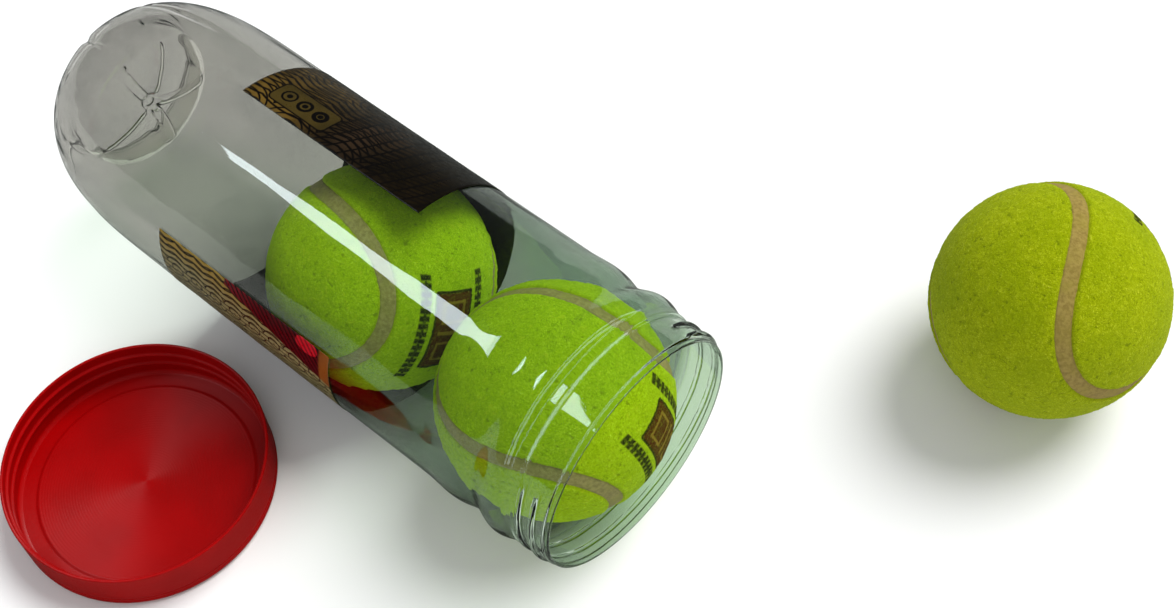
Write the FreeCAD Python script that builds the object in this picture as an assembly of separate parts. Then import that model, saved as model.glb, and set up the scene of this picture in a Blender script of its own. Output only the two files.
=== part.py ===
import FreeCAD, Part
import math
import os

# A clear three-ball tennis can lying open on its side, with two balls inside, its screw cap put
# down upside down beside it, and the third ball on the floor near the mouth.
# Row frame: the origin is the centre of the mouth, on the can's axis. +X points out of the mouth,
# +Z points up, and the floor is the plane z = FLOOR_Z. Every size is in millimetres.

# ---- can: places along the axis are distances back from the mouth plane ----
BODY_R = 37.5  # outside radius of the straight wall
WALL = 0.7  # blown wall thickness
MOUTH_R = 35.2  # inside radius of the mouth
LAND_R = 35.8  # plain land right at the lip, in front of the thread
LAND_END = 1.6
BAND_R = 36.3  # threaded lip band
BAND_END = 11.4
STEP_R = 37.0  # narrow step behind the lip band
STEP_START = 12.2
STEP_END = 14.6
BEAD_R = 38.5  # transfer bead, the widest ring of the can
BEAD_AT = 19.7
NOTCH_R = 36.5  # groove behind the bead
NOTCH_AT = 26.5
SHOULDER_R = 38.0  # slight swelling where the neck becomes the wall
SHOULDER_AT = 34.0
WALL_START = 45.0
HEEL_START = 160.0  # the straight wall starts to round in here
ROUND_END = 215.0  # where the heel's curve would reach the axis
HEEL_POWER = 2.97  # exponent of the heel's superellipse
FOOT_R = 25.5  # ring where the heel turns back into the push-up
PANEL_AT = 196.3  # outside face of the pushed-up panel
PANEL_R = 21.6
PANEL_CORNER = 1.6
FLOOR_Z = -BEAD_R  # the bead rests on the floor

# ---- radial ribs and gate mark on the pushed-up panel ----
RIB_ANGLES = (7.0, 69.0, 152.0, 193.0, 280.0)  # degrees; the five ribs are not evenly spaced
RIB_R = 1.2
RIB_START = 4.5
RIB_END = 20.6
GATE_R = 2.8
GATE_HEIGHT = 0.9

# ---- screw thread, shared by the lip band and the cap ----
THREAD_PITCH = 4.6
THREAD_HEIGHT = 0.8
THREAD_WIDTH = 1.6
THREAD_CREST = 0.8
THREAD_SINK = 0.3  # how far a ridge runs into the wall it stands on
THREAD_TURN = 262.0  # degrees; each turn stops short and leaves a plain vent gap
THREAD_FIRST_ANGLE = 238.0  # where the first ridge of the lip begins
THREAD_BACK = 5.9  # where the first ridge starts, back from the mouth
THREAD_RIDGES = 2

# ---- cap: heights are from its flat top, which lies on the floor ----
CAP_R = 38.3
CAP_HEIGHT = 15.5
CAP_BORE_R = 37.4
CAP_TOP = 1.2
CAP_CORNER_R = 2.2
CAP_RIM_R = 0.3
CAP_BORE_CORNER_R = 1.2
DISC_R = 31.6  # slightly raised disc on the cap's inner face
DISC_HEIGHT = 0.4
RING_COUNT = 14  # fine concentric rings turned into the disc
RING_DEPTH = 0.03
CAP_THREAD_START = 5.2
CAP_THREAD_ANGLE = 33.0  # where the first ridge of the cap begins
CAP_CENTRE = FreeCAD.Vector(-119.7, -81.6, FLOOR_Z)

# ---- label film, wrapped round the wall except for a clear window ----
LABEL_FRONT = 78.0
LABEL_BACK = 146.5
LABEL_GAP = 0.03
LABEL_THICKNESS = 0.12
WINDOW_FROM = -67.5  # degrees about the axis, from the top towards +Y
WINDOW_TO = 7.0

# ---- balls ----
BALL_R = 33.0
FELT_INNER_R = 30.0
CEMENT_R = 32.4  # the cemented seam lies a little below the felt
CORE_R = 29.97
CORE_WALL = 3.6
CORE_SPLIT_GAP = 0.02
SEAM_SHAPE = 0.21  # share of the third harmonic in the seam curve
SEAM_HALF_ANGLE = 3.65  # half the seam's width in degrees, seen from the ball's centre
SEAM_CLEARANCE = 0.04  # degrees left free between felt and cement
SEAM_POINTS = 28
# name: (centre), (yaw, pitch, roll of the seam in degrees)
BALLS = {
    "ball_1": ((-96.0, 0.0, -3.7), (20.0, 75.0, 24.0)),
    "ball_2": ((-29.6, 0.0, -2.7), (-84.0, -27.0, 103.0)),
    "ball_3": ((55.1, 111.2, FLOOR_Z + BALL_R), (19.0, 6.5, -80.0)),
}

ORIGIN = FreeCAD.Vector(0, 0, 0)
Y_AXIS = FreeCAD.Vector(0, 1, 0)
Z_AXIS = FreeCAD.Vector(0, 0, 1)


# ---------------------------------------------------------------- helpers
def at(radius, height):
    """A point of a half profile, drawn in the local XZ plane."""
    return FreeCAD.Vector(radius, 0, height)


def line(start, end):
    return Part.makeLine(start, end)


def arc(start, middle, end):
    return Part.Arc(start, middle, end).toShape()


def curve(points, start_along, end_along):
    """A smooth edge through the points that leaves and arrives in the given directions."""
    spline = Part.BSplineCurve()
    spline.interpolate(Points=points, InitialTangent=start_along, FinalTangent=end_along)
    return spline.toShape()


def turned(edges):
    """The solid of revolution of a closed half profile about local Z."""
    return Part.Face(Part.Wire(edges)).revolve(ORIGIN, Z_AXIS, 360)


def one_solid(shape):
    """The single solid inside a boolean's result."""
    return shape.Solids[0]


def along_can(shape):
    """Turn a shape modelled along local Z so that local +Z runs along the row's +X."""
    shape.rotate(ORIGIN, Y_AXIS, 90)
    return shape


def thread_ridge(root_r, height, start_angle, start_height):
    """One turn of thread: a trapezoid swept up a right-hand helix. A negative height points inwards."""
    sink = math.copysign(THREAD_SINK, height)
    rise = THREAD_PITCH * THREAD_TURN / 360
    helix = Part.makeHelix(THREAD_PITCH, rise, root_r)
    corners = [
        at(root_r - sink, -THREAD_WIDTH / 2),
        at(root_r + height, -THREAD_CREST / 2),
        at(root_r + height, THREAD_CREST / 2),
        at(root_r - sink, THREAD_WIDTH / 2),
    ]
    section = Part.makePolygon(corners + corners[:1])
    ridge = helix.makePipeShell([section], True, True)
    ridge.rotate(ORIGIN, Z_AXIS, start_angle)
    ridge.translate(FreeCAD.Vector(0, 0, start_height))
    return ridge


# ---------------------------------------------------------------- can
def heel_back(radius, inset):
    """How far back the rounded end lies at this radius, for a surface moved inwards by inset."""
    share = radius / (BODY_R - inset)
    return HEEL_START + (ROUND_END - inset - HEEL_START) * (1 - share**HEEL_POWER) ** (1 / HEEL_POWER)


def heel_points(inset):
    """Points from the straight wall round to the foot ring."""
    wall_r = BODY_R - inset
    foot_r = FOOT_R + inset / 2
    steps = 8
    angles = [math.pi / 2 * i / steps for i in range(steps + 1)]
    radii = [foot_r + (wall_r - foot_r) * math.cos(a) for a in angles]
    return [at(r, -heel_back(r, inset)) for r in radii]


def outline_behind_step(inset):
    """Profile edges from the step back to the axis, moved inwards by inset."""
    straight_back = FreeCAD.Vector(0, 0, -1)
    flare = FreeCAD.Vector(0.6, 0, -1)
    turn_in = FreeCAD.Vector(-1, 0, -0.25)
    inwards = FreeCAD.Vector(-1, 0, 0)
    neck = [
        at(STEP_R - inset, -STEP_END),
        at(BEAD_R - inset, -BEAD_AT),
        at(NOTCH_R - inset, -NOTCH_AT),
        at(SHOULDER_R - inset, -SHOULDER_AT),
        at(BODY_R - inset, -WALL_START),
    ]
    heel = heel_points(inset)
    panel_z = inset - PANEL_AT
    foot = heel[-1]
    inner_foot = foot + FreeCAD.Vector(-1.4, 0, 0.7)
    panel_edge = at(PANEL_R + inset, panel_z - 0.6)
    half_way = (inner_foot + panel_edge) * 0.5 + FreeCAD.Vector(-0.2, 0, 0)
    panel_start = at(PANEL_R + inset - PANEL_CORNER, panel_z)
    panel_centre = at(0, panel_z)
    return [
        curve(neck, flare, straight_back),
        line(neck[-1], heel[0]),
        curve(heel, straight_back, turn_in),
        curve([foot, inner_foot, half_way, panel_edge, panel_start], turn_in, inwards),
        line(panel_start, panel_centre),
        line(panel_centre, ORIGIN),
    ]


def can_envelope():
    """The can as a filled shape."""
    corners = [
        ORIGIN,
        at(LAND_R, 0),
        at(LAND_R, -LAND_END),
        at(BAND_R, -LAND_END - 0.3),
        at(BAND_R, -BAND_END),
        at(STEP_R, -STEP_START),
        at(STEP_R, -STEP_END),
    ]
    front = [line(a, b) for a, b in zip(corners, corners[1:])]
    return turned(front + outline_behind_step(0))


def can_cavity():
    """The space inside the can."""
    corners = [
        ORIGIN,
        at(MOUTH_R, 0),
        at(MOUTH_R, -BAND_END),
        at(STEP_R - WALL, -STEP_START - 0.6),
        at(STEP_R - WALL, -STEP_END),
    ]
    front = [line(a, b) for a, b in zip(corners, corners[1:])]
    return turned(front + outline_behind_step(WALL))


def panel_rods(radius):
    """Rods lying along the panel's outside face, one for each rib."""
    rods = []
    for degrees in RIB_ANGLES:
        angle = math.radians(degrees)
        outwards = FreeCAD.Vector(math.cos(angle), math.sin(angle), 0)
        foot = outwards * RIB_START + FreeCAD.Vector(0, 0, -PANEL_AT)
        rods.append(Part.makeCylinder(radius, RIB_END - RIB_START, foot, outwards))
    return rods


def can_body():
    """Blown wall with lip, bead, rounded heel and a pushed-up panel with ribs, then the thread."""
    outside = can_envelope().cut(panel_rods(RIB_R))
    inside = can_cavity().cut(panel_rods(RIB_R + WALL))
    gate = Part.makeCylinder(GATE_R, GATE_HEIGHT + WALL / 2, at(0, -PANEL_AT + WALL / 2))
    ridges = [
        thread_ridge(BAND_R, THREAD_HEIGHT, THREAD_FIRST_ANGLE, -THREAD_BACK - i * THREAD_PITCH)
        for i in range(THREAD_RIDGES)
    ]
    return along_can(one_solid(outside.cut(inside).fuse([gate] + ridges)))


# ---------------------------------------------------------------- label
def label():
    """A thin printed film round the wall, open over the clear window."""
    inner_r = BODY_R + LABEL_GAP
    outer_r = inner_r + LABEL_THICKNESS
    length = LABEL_BACK - LABEL_FRONT
    covered = 360 - (WINDOW_TO - WINDOW_FROM)
    tube = Part.makeCylinder(outer_r, length, at(0, -LABEL_BACK), Z_AXIS, covered)
    film = tube.cut(Part.makeCylinder(inner_r, length, at(0, -LABEL_BACK)))
    # once the can is turned, the local angle 180 degrees is the top and angles run from +Y to the top
    film.rotate(ORIGIN, Z_AXIS, 180 - WINDOW_TO - covered)
    return along_can(one_solid(film))


# ---------------------------------------------------------------- cap
def ring_profile(radius, height):
    """Points of the raised disc's face, with a shallow groove at each ring."""
    pitch = radius / (RING_COUNT + 1)
    points = []
    for i in range(RING_COUNT, 0, -1):
        points.append(at((i + 0.5) * pitch, height))
        points.append(at(i * pitch, height - RING_DEPTH))
    points.append(at(0.5 * pitch, height))
    points.append(at(0, height))
    return points


def screw_cap():
    """One moulding: flat top, rounded corner, plain skirt and inside thread."""
    corner = CAP_CORNER_R
    bend = 1 - math.sqrt(0.5)
    inner = CAP_BORE_CORNER_R
    rim_mid = (CAP_R + CAP_BORE_R) / 2
    face_start = at(DISC_R, CAP_TOP + DISC_HEIGHT)
    face = [face_start] + ring_profile(DISC_R, CAP_TOP + DISC_HEIGHT)
    edges = [
        line(ORIGIN, at(CAP_R - corner, 0)),
        arc(at(CAP_R - corner, 0), at(CAP_R - corner * bend, corner * bend), at(CAP_R, corner)),
        line(at(CAP_R, corner), at(CAP_R, CAP_HEIGHT - CAP_RIM_R)),
        arc(at(CAP_R, CAP_HEIGHT - CAP_RIM_R), at(rim_mid, CAP_HEIGHT), at(CAP_BORE_R, CAP_HEIGHT - CAP_RIM_R)),
        line(at(CAP_BORE_R, CAP_HEIGHT - CAP_RIM_R), at(CAP_BORE_R, CAP_TOP + inner)),
        arc(
            at(CAP_BORE_R, CAP_TOP + inner),
            at(CAP_BORE_R - inner * bend, CAP_TOP + inner * bend),
            at(CAP_BORE_R - inner, CAP_TOP),
        ),
        line(at(CAP_BORE_R - inner, CAP_TOP), at(DISC_R + 0.3, CAP_TOP)),
        line(at(DISC_R + 0.3, CAP_TOP), face_start),
    ]
    edges += [line(a, b) for a, b in zip(face, face[1:])]
    edges.append(line(face[-1], ORIGIN))
    ridges = [
        thread_ridge(CAP_BORE_R, -THREAD_HEIGHT, CAP_THREAD_ANGLE, CAP_THREAD_START + i * THREAD_PITCH)
        for i in range(THREAD_RIDGES)
    ]
    cap = one_solid(turned(edges).fuse(ridges))
    cap.translate(CAP_CENTRE)
    return cap


# ---------------------------------------------------------------- balls
def seam_at(angle, tilt):
    """A point of the unit sphere beside the seam curve, tilt degrees to its left."""
    a = 1 - SEAM_SHAPE
    b = SEAM_SHAPE
    lift = 2 * math.sqrt(a * b)
    point = FreeCAD.Vector(
        a * math.cos(angle) + b * math.cos(3 * angle),
        a * math.sin(angle) - b * math.sin(3 * angle),
        lift * math.sin(2 * angle),
    )
    ahead = FreeCAD.Vector(
        -a * math.sin(angle) - 3 * b * math.sin(3 * angle),
        a * math.cos(angle) - 3 * b * math.cos(3 * angle),
        2 * lift * math.cos(2 * angle),
    )
    side = point.cross(ahead).normalize()
    return point * math.cos(math.radians(tilt)) + side * math.sin(math.radians(tilt))


def seam_rail(tilt, radius):
    """A closed curve beside the seam, at this distance from the ball's centre."""
    rail = Part.BSplineCurve()
    steps = [2 * math.pi * i / SEAM_POINTS for i in range(SEAM_POINTS)]
    rail.interpolate(Points=[seam_at(s, tilt) * radius for s in steps], PeriodicFlag=True)
    return rail.toShape()


def seam_band(half_angle):
    """A closed solid ribbon that stands along the seam and runs through the whole felt."""
    low = FELT_INNER_R - 1
    high = BALL_R + 1
    rails = [
        seam_rail(-half_angle, low),
        seam_rail(-half_angle, high),
        seam_rail(half_angle, high),
        seam_rail(half_angle, low),
    ]
    sides = [Part.makeRuledSurface(a, b) for a, b in zip(rails, rails[1:] + rails[:1])]
    shell = Part.makeShell(sides)
    shell.sewShape()
    band = Part.makeSolid(shell)
    if band.Volume < 0:
        band.reverse()
    return band


def hollow_sphere(outer_r, inner_r):
    return Part.makeSphere(outer_r).cut(Part.makeSphere(inner_r))


def core_half(side):
    """Half of the hollow rubber core. The side is 1 or -1 and says which half."""
    shell = hollow_sphere(CORE_R, CORE_R - CORE_WALL)
    size = 2.2 * CORE_R
    low = side * CORE_SPLIT_GAP / 2 if side > 0 else -size - CORE_SPLIT_GAP / 2
    block = Part.makeBox(size, size, size, FreeCAD.Vector(-size / 2, -size / 2, low))
    return one_solid(shell.common(block))


def ball_pieces():
    """The five pieces of one ball, centred on the origin."""
    cement = hollow_sphere(CEMENT_R, FELT_INNER_R).common(seam_band(SEAM_HALF_ANGLE))
    felt = hollow_sphere(BALL_R, FELT_INNER_R).cut(seam_band(SEAM_HALF_ANGLE + SEAM_CLEARANCE))
    panels = sorted(felt.Solids, key=lambda panel: panel.CenterOfMass.z)
    return {
        "core_half_a": core_half(1),
        "core_half_b": core_half(-1),
        "felt_panel_a": panels[0],
        "felt_panel_b": panels[1],
        "seam_cement": one_solid(cement),
    }


def placed(shape, centre, angles):
    copy = shape.copy()
    copy.Placement = FreeCAD.Placement(FreeCAD.Vector(*centre), FreeCAD.Rotation(*angles))
    return copy


# ---------------------------------------------------------------- output
def all_nodes():
    nodes = {"can_body": can_body(), "label": label(), "screw_cap": screw_cap()}
    pieces = ball_pieces()
    for ball, (centre, angles) in BALLS.items():
        for piece, shape in pieces.items():
            nodes[f"{ball}_{piece}"] = placed(shape, centre, angles)
    return nodes


os.makedirs("parts", exist_ok=True)
for node, shape in all_nodes().items():
    shape.exportStep(f"parts/{node}.step")
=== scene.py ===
import math

import bmesh
import bpy
import numpy as np
from mathutils import Matrix, Vector, noise


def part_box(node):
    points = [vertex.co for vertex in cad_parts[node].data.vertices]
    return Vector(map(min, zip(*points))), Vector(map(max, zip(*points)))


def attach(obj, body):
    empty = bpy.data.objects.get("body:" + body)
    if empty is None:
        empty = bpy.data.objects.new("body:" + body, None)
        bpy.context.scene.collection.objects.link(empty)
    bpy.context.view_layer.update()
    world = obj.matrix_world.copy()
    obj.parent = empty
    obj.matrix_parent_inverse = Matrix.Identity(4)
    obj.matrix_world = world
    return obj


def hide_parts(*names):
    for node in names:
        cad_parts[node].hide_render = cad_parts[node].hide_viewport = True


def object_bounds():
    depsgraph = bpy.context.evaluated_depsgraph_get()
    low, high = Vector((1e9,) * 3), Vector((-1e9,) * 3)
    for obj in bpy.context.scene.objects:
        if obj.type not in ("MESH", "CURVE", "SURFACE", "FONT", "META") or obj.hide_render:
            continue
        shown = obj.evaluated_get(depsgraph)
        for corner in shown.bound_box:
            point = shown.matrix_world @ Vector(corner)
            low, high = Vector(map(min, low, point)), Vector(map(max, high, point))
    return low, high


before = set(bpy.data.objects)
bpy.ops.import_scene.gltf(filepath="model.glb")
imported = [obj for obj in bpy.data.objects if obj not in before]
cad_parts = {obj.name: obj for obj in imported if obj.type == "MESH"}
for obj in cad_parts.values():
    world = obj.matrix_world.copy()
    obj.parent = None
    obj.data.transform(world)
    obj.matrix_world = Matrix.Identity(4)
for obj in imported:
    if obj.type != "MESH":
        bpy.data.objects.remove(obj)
CAD_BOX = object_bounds()

# Sizes below are in millimetres in the row frame: the origin is the centre of the mouth, +X points
# out of the mouth, +Z up. Places along the can are distances t back from the mouth, so x = -t.
MM = 0.001

# ---- can ----
BODY_R = 37.5
WALL = 0.7
MOUTH_R = 35.2
LIP_DEPTH = 0.25  # how far back the rounding of the lip reaches
LAND_R = 35.8
LAND_END = 1.6
BAND_R = 36.3
BAND_START = 1.9
BAND_END = 11.4
STEP_R = 37.0
STEP_START = 12.2
STEP_END = 14.6
BEAD = (38.5, 19.7)  # radius and place, as for the two below
NOTCH = (36.5, 26.5)
SHOULDER = (37.6, 32.0)
WALL_START = 45.0
HEEL_START = 160.0
ROUND_END = 215.0
HEEL_POWER = 2.97
FOOT_R = 25.5
PANEL_AT = 196.3
PANEL_R = 21.6
GATE_NUB = 0.4  # height of the nub left by the gate, and of the ring round it
GATE_RING = 0.6
GATE_RING_R = 2.2
GATE_RING_WIDTH = 0.4
WALL_WAVES = ((0.05, 3, 21), (0.035, 5, -13))  # height, waves round the can, and mm per radian along it
CAN_COLUMNS = 288

# each rib: angle of its tip in degrees, and how far it has turned by the time it reaches the middle
RIBS = ((7.0, 6.0), (69.0, -22.0), (152.0, -20.0), (193.0, 8.0), (280.0, 22.0))
RIB_R = 1.2
RIB_START = 3.4
RIB_END = 20.6
VALLEY_DEPTH = 0.8
VALLEY_WIDTH = 1.3
VALLEY_FADE = (166, 192)  # the valleys deepen between these places

THREAD_PITCH = 4.6
THREAD_HEIGHT = 0.8
THREAD_RIDGES = 2
THREAD_TURN = 262.0  # degrees from one end of a ridge to the other
THREAD_TAPER = 9  # degrees over which each end of a ridge fades
THREAD_FLANK = (0.38, 0.78)  # where a ridge's side starts and ends, from its middle line
THREAD_FIRST_ANGLE = 238.0
THREAD_BACK = 5.9

# ---- label ----
LABEL_FRONT = 78.0
LABEL_BACK = 146.5
LABEL_IN_R = 37.53
LABEL_OUT_R = 37.65
LABEL_LIFT = 0.035  # keeps the rippled film clear of the wall
LABEL_RIPPLE = 0.03
LABEL_FROM = 7.0  # degrees about the axis, from the top towards +Y
LABEL_TO = 292.5

# ---- cap: heights are from its flat top, which lies on the floor ----
CAP_R = 38.3
CAP_HEIGHT = 15.5
CAP_BORE = 37.4
CAP_TOP = 1.2
CAP_CORNER = 2.2
CAP_RIM = 0.4  # height of the rounding at the open edge
CAP_BORE_CORNER = 1.2
CAP_GROOVES = (3.0, 4.1)
CAP_GROOVE_DEPTH = 0.22
CAP_GROOVE_WIDTH = 0.16
CAP_COLUMNS = 240
DISC_R = 31.6
DISC_HEIGHT = 0.4
RING_PITCH = 0.8
RING_DEPTH = 0.03
CAP_THREAD_START = 5.2
CAP_THREAD_ANGLE = 33.0
CAP_THREAD_FLANK = (0.15, 0.7)

# ---- balls ----
BALL_R = 33.0
SEAM_SHAPE = 0.21
SEAM_SAMPLES = 900
SEAM_STEPS = 400
SEAM_HALF = 2.1  # half the seam's width
NAP = ((0.09, 0.42), (0.15, 1.05), (0.13, 2.6))  # height and fineness of clumps, tufts and fibres
# each ball: yaw, pitch and roll in degrees, then the directions of its stamp's middle and of its rows
BALLS = {
    "ball_1": ((20.0, 75.0, 24.0), (0.973, -0.127, 0.191), (0.083, -0.589, -0.805)),
    "ball_2": ((-84.0, -27.0, 103.0), (0.961, 0.272, 0.05), (0.014, 0.134, -0.991)),
    "ball_3": ((19.0, 6.5, -80.0), (0.32, 0.93, 0.19), (-0.55, 0.34, -0.76)),
}


# ================================================================ mesh helpers
def mesh_object(name, verts, faces, smooth=True):
    """A mesh object from points in millimetres."""
    mesh = bpy.data.meshes.new(name)
    mesh.from_pydata([tuple(v) for v in np.asarray(verts, float) * MM], [], faces)
    mesh.validate()
    mesh.update()
    if smooth:
        mesh.polygons.foreach_set("use_smooth", [True] * len(mesh.polygons))
    obj = bpy.data.objects.new(name, mesh)
    bpy.context.scene.collection.objects.link(obj)
    return obj


def grid_faces(rows, columns, close_rows=False, close_columns=False):
    """Quads of a grid whose point (i, j) has the number i * columns + j."""
    faces = []
    for i in range(rows if close_rows else rows - 1):
        a = i * columns
        b = ((i + 1) % rows) * columns
        for j in range(columns if close_columns else columns - 1):
            k = (j + 1) % columns
            faces.append((a + j, a + k, b + k, b + j))
    return faces


def outward(obj):
    """Turn every face of a closed mesh outwards."""
    bm = bmesh.new()
    bm.from_mesh(obj.data)
    bmesh.ops.recalc_face_normals(bm, faces=bm.faces)
    bm.to_mesh(obj.data)
    bm.free()
    return obj


def spun(name, points, columns, ends):
    """A closed mesh of rings of points round an axis, with one more point on the axis at each end."""
    faces = grid_faces(len(points) // columns, columns, close_columns=True)
    count = len(points)
    base = count - columns
    for j in range(columns):
        k = (j + 1) % columns
        faces.append((count, k, j))
        faces.append((count + 1, base + j, base + k))
    return outward(mesh_object(name, np.vstack([points, ends]), faces))


def point_values(obj, name, values):
    """Store one number per point for the object's material to read."""
    layer = obj.data.attributes.new(name, "FLOAT", "POINT")
    layer.data.foreach_set("value", values.astype(np.float32))


def smoothstep(low, high, value):
    """0 up to low, 1 from high on, and a smooth rise between them."""
    x = np.clip((value - low) / (high - low), 0, 1)
    return x * x * (3 - 2 * x)


def hermite(points, start, end, count):
    """A smooth curve through 2D points, with the given end directions."""
    points = np.array(points, float)
    steps = np.linalg.norm(np.diff(points, axis=0), axis=1)
    knots = np.concatenate([[0], np.cumsum(steps)])
    n = len(points)
    system = np.zeros((n, n))
    right = np.zeros((n, 2))
    system[0, 0] = system[-1, -1] = 1
    right[0] = np.array(start) / np.linalg.norm(start)
    right[-1] = np.array(end) / np.linalg.norm(end)
    for i in range(1, n - 1):
        system[i, i - 1] = steps[i]
        system[i, i] = 2 * (steps[i] + steps[i - 1])
        system[i, i + 1] = steps[i - 1]
        slope_a = (points[i] - points[i - 1]) / steps[i - 1]
        slope_b = (points[i + 1] - points[i]) / steps[i]
        right[i] = 3 * (steps[i] * slope_a + steps[i - 1] * slope_b)
    slopes = np.linalg.solve(system, right)
    out = []
    for s in np.linspace(0, knots[-1], count, endpoint=False):
        i = min(int(np.searchsorted(knots, s, side="right")) - 1, n - 2)
        h = steps[i]
        x = (s - knots[i]) / h
        out.append(
            points[i] * (1 + 2 * x) * (1 - x) ** 2
            + points[i + 1] * x * x * (3 - 2 * x)
            + h * slopes[i] * x * (1 - x) ** 2
            - h * slopes[i + 1] * x * x * (1 - x)
        )
    return out


def straight(a, b, count):
    """Evenly spaced points from a towards b, without b itself."""
    a, b = np.array(a, float), np.array(b, float)
    return [a + (b - a) * i / count for i in range(count)]


def rounded_line(corners, radius, spacing):
    """Points along a polyline of (r, t) corners, with each inside corner rounded."""
    corners = [np.array(c, float) for c in corners]
    out = []
    here = corners[0]
    for i in range(1, len(corners)):
        ahead = corners[i] - corners[i - 1]
        length = np.linalg.norm(ahead)
        unit = ahead / length
        cut = min(radius, length * 0.45) if i < len(corners) - 1 else 0
        end = corners[i] - unit * cut
        count = max(1, int(np.linalg.norm(end - here) / spacing))
        out += straight(here, end, count)
        if i < len(corners) - 1:
            after = corners[i + 1] - corners[i]
            cut_b = min(radius, np.linalg.norm(after) * 0.45)
            leave = corners[i] + after / np.linalg.norm(after) * cut_b
            for s in (0.0, 0.33, 0.67):
                out.append((1 - s) ** 2 * end + 2 * s * (1 - s) * corners[i] + s * s * leave)
            here = leave
    out.append(corners[-1])
    return out


# ================================================================ can shell
def heel_back(r, inset):
    """How far back the rounded heel reaches at a radius, for a surface moved inwards by inset."""
    share = min(r / (BODY_R - inset), 1.0)
    reach = ROUND_END - inset - HEEL_START
    return HEEL_START + reach * (1 - share**HEEL_POWER) ** (1 / HEEL_POWER)


def back_profile(inset):
    """Points (r, t) from the step back to the axis, for a surface moved inwards by inset."""
    neck = [
        (STEP_R - inset, STEP_END),
        (BEAD[0] - inset, BEAD[1]),
        (NOTCH[0] - inset, NOTCH[1]),
        (SHOULDER[0] - inset, SHOULDER[1]),
        (BODY_R - inset, WALL_START),
    ]
    out = hermite(neck, (0.6, 1), (0, 1), 44)
    out += straight(neck[-1], (BODY_R - inset, HEEL_START), 36)
    foot_r = FOOT_R + inset / 2
    wall_r = BODY_R - inset
    heel_rows = 40
    for i in range(heel_rows):
        r = foot_r + (wall_r - foot_r) * math.cos(math.pi / 2 * i / heel_rows)
        out.append(np.array((r, heel_back(r, inset))))
    foot = np.array((foot_r, heel_back(foot_r, inset)))
    panel = PANEL_AT - inset
    inner_foot = foot + (-1.4, -0.7)
    edge = np.array((PANEL_R + inset, panel + 0.6))
    half_way = (inner_foot + edge) / 2 + (-0.2, 0)
    start = np.array((PANEL_R + inset - 1.6, panel))
    out += hermite([foot, inner_foot, half_way, edge, start], (-1, 0.25), (-1, 0), 22)
    out += straight(start, (0.35, panel), 34)
    return out


def can_profile():
    """The wall's section as points (r, t), with 0 for each point on the inside and 1 on the outside.

    It runs from the inside centre along the inside wall, round the lip and back to the outside centre.
    """
    inner_front = [
        (MOUTH_R, LIP_DEPTH),
        (MOUTH_R, BAND_END),
        (STEP_R - WALL, STEP_START + 0.6),
        (STEP_R - WALL, STEP_END),
    ]
    inside = rounded_line(inner_front, 0.5, 0.8)[:-1] + back_profile(WALL)
    outer_front = [
        (LAND_R, LIP_DEPTH),
        (LAND_R, LAND_END),
        (BAND_R, BAND_START),
        (BAND_R, BAND_END),
        (STEP_R, STEP_START),
        (STEP_R, STEP_END),
    ]
    outside = rounded_line(outer_front, 0.3, 0.24)[:-1] + back_profile(0)
    mid = (MOUTH_R + LAND_R) / 2
    half = (LAND_R - MOUTH_R) / 2
    lip = [
        np.array((mid - half * math.cos(a), LIP_DEPTH - LIP_DEPTH * math.sin(a)))
        for a in (0.55, 1.1, 1.57, 2.05, 2.6)
    ]
    run = inside[::-1] + lip + outside
    side = [0.0] * (len(inside) + 2) + [1.0] * (len(outside) + 3)
    return np.array(run), np.array(side)


def thread_ends(turn):
    """1 along a thread ridge, fading to 0 at both of its ends."""
    fade_out = smoothstep(THREAD_TURN - THREAD_TAPER, THREAD_TURN, turn)
    return smoothstep(0, THREAD_TAPER, turn) * (1 - fade_out)


def thread_height(t, alpha):
    """How far the thread stands off the lip band at a distance t back and an angle in degrees."""
    turn = (alpha - THREAD_FIRST_ANGLE) % 360
    height = np.zeros(t.shape)
    ends = thread_ends(turn)
    for i in range(THREAD_RIDGES):
        ridge_t = THREAD_BACK + i * THREAD_PITCH - THREAD_PITCH * turn / 360
        flank = smoothstep(*THREAD_FLANK, np.abs(t - ridge_t))
        height = np.maximum(height, THREAD_HEIGHT * (1 - flank) * ends)
    return height


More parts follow.
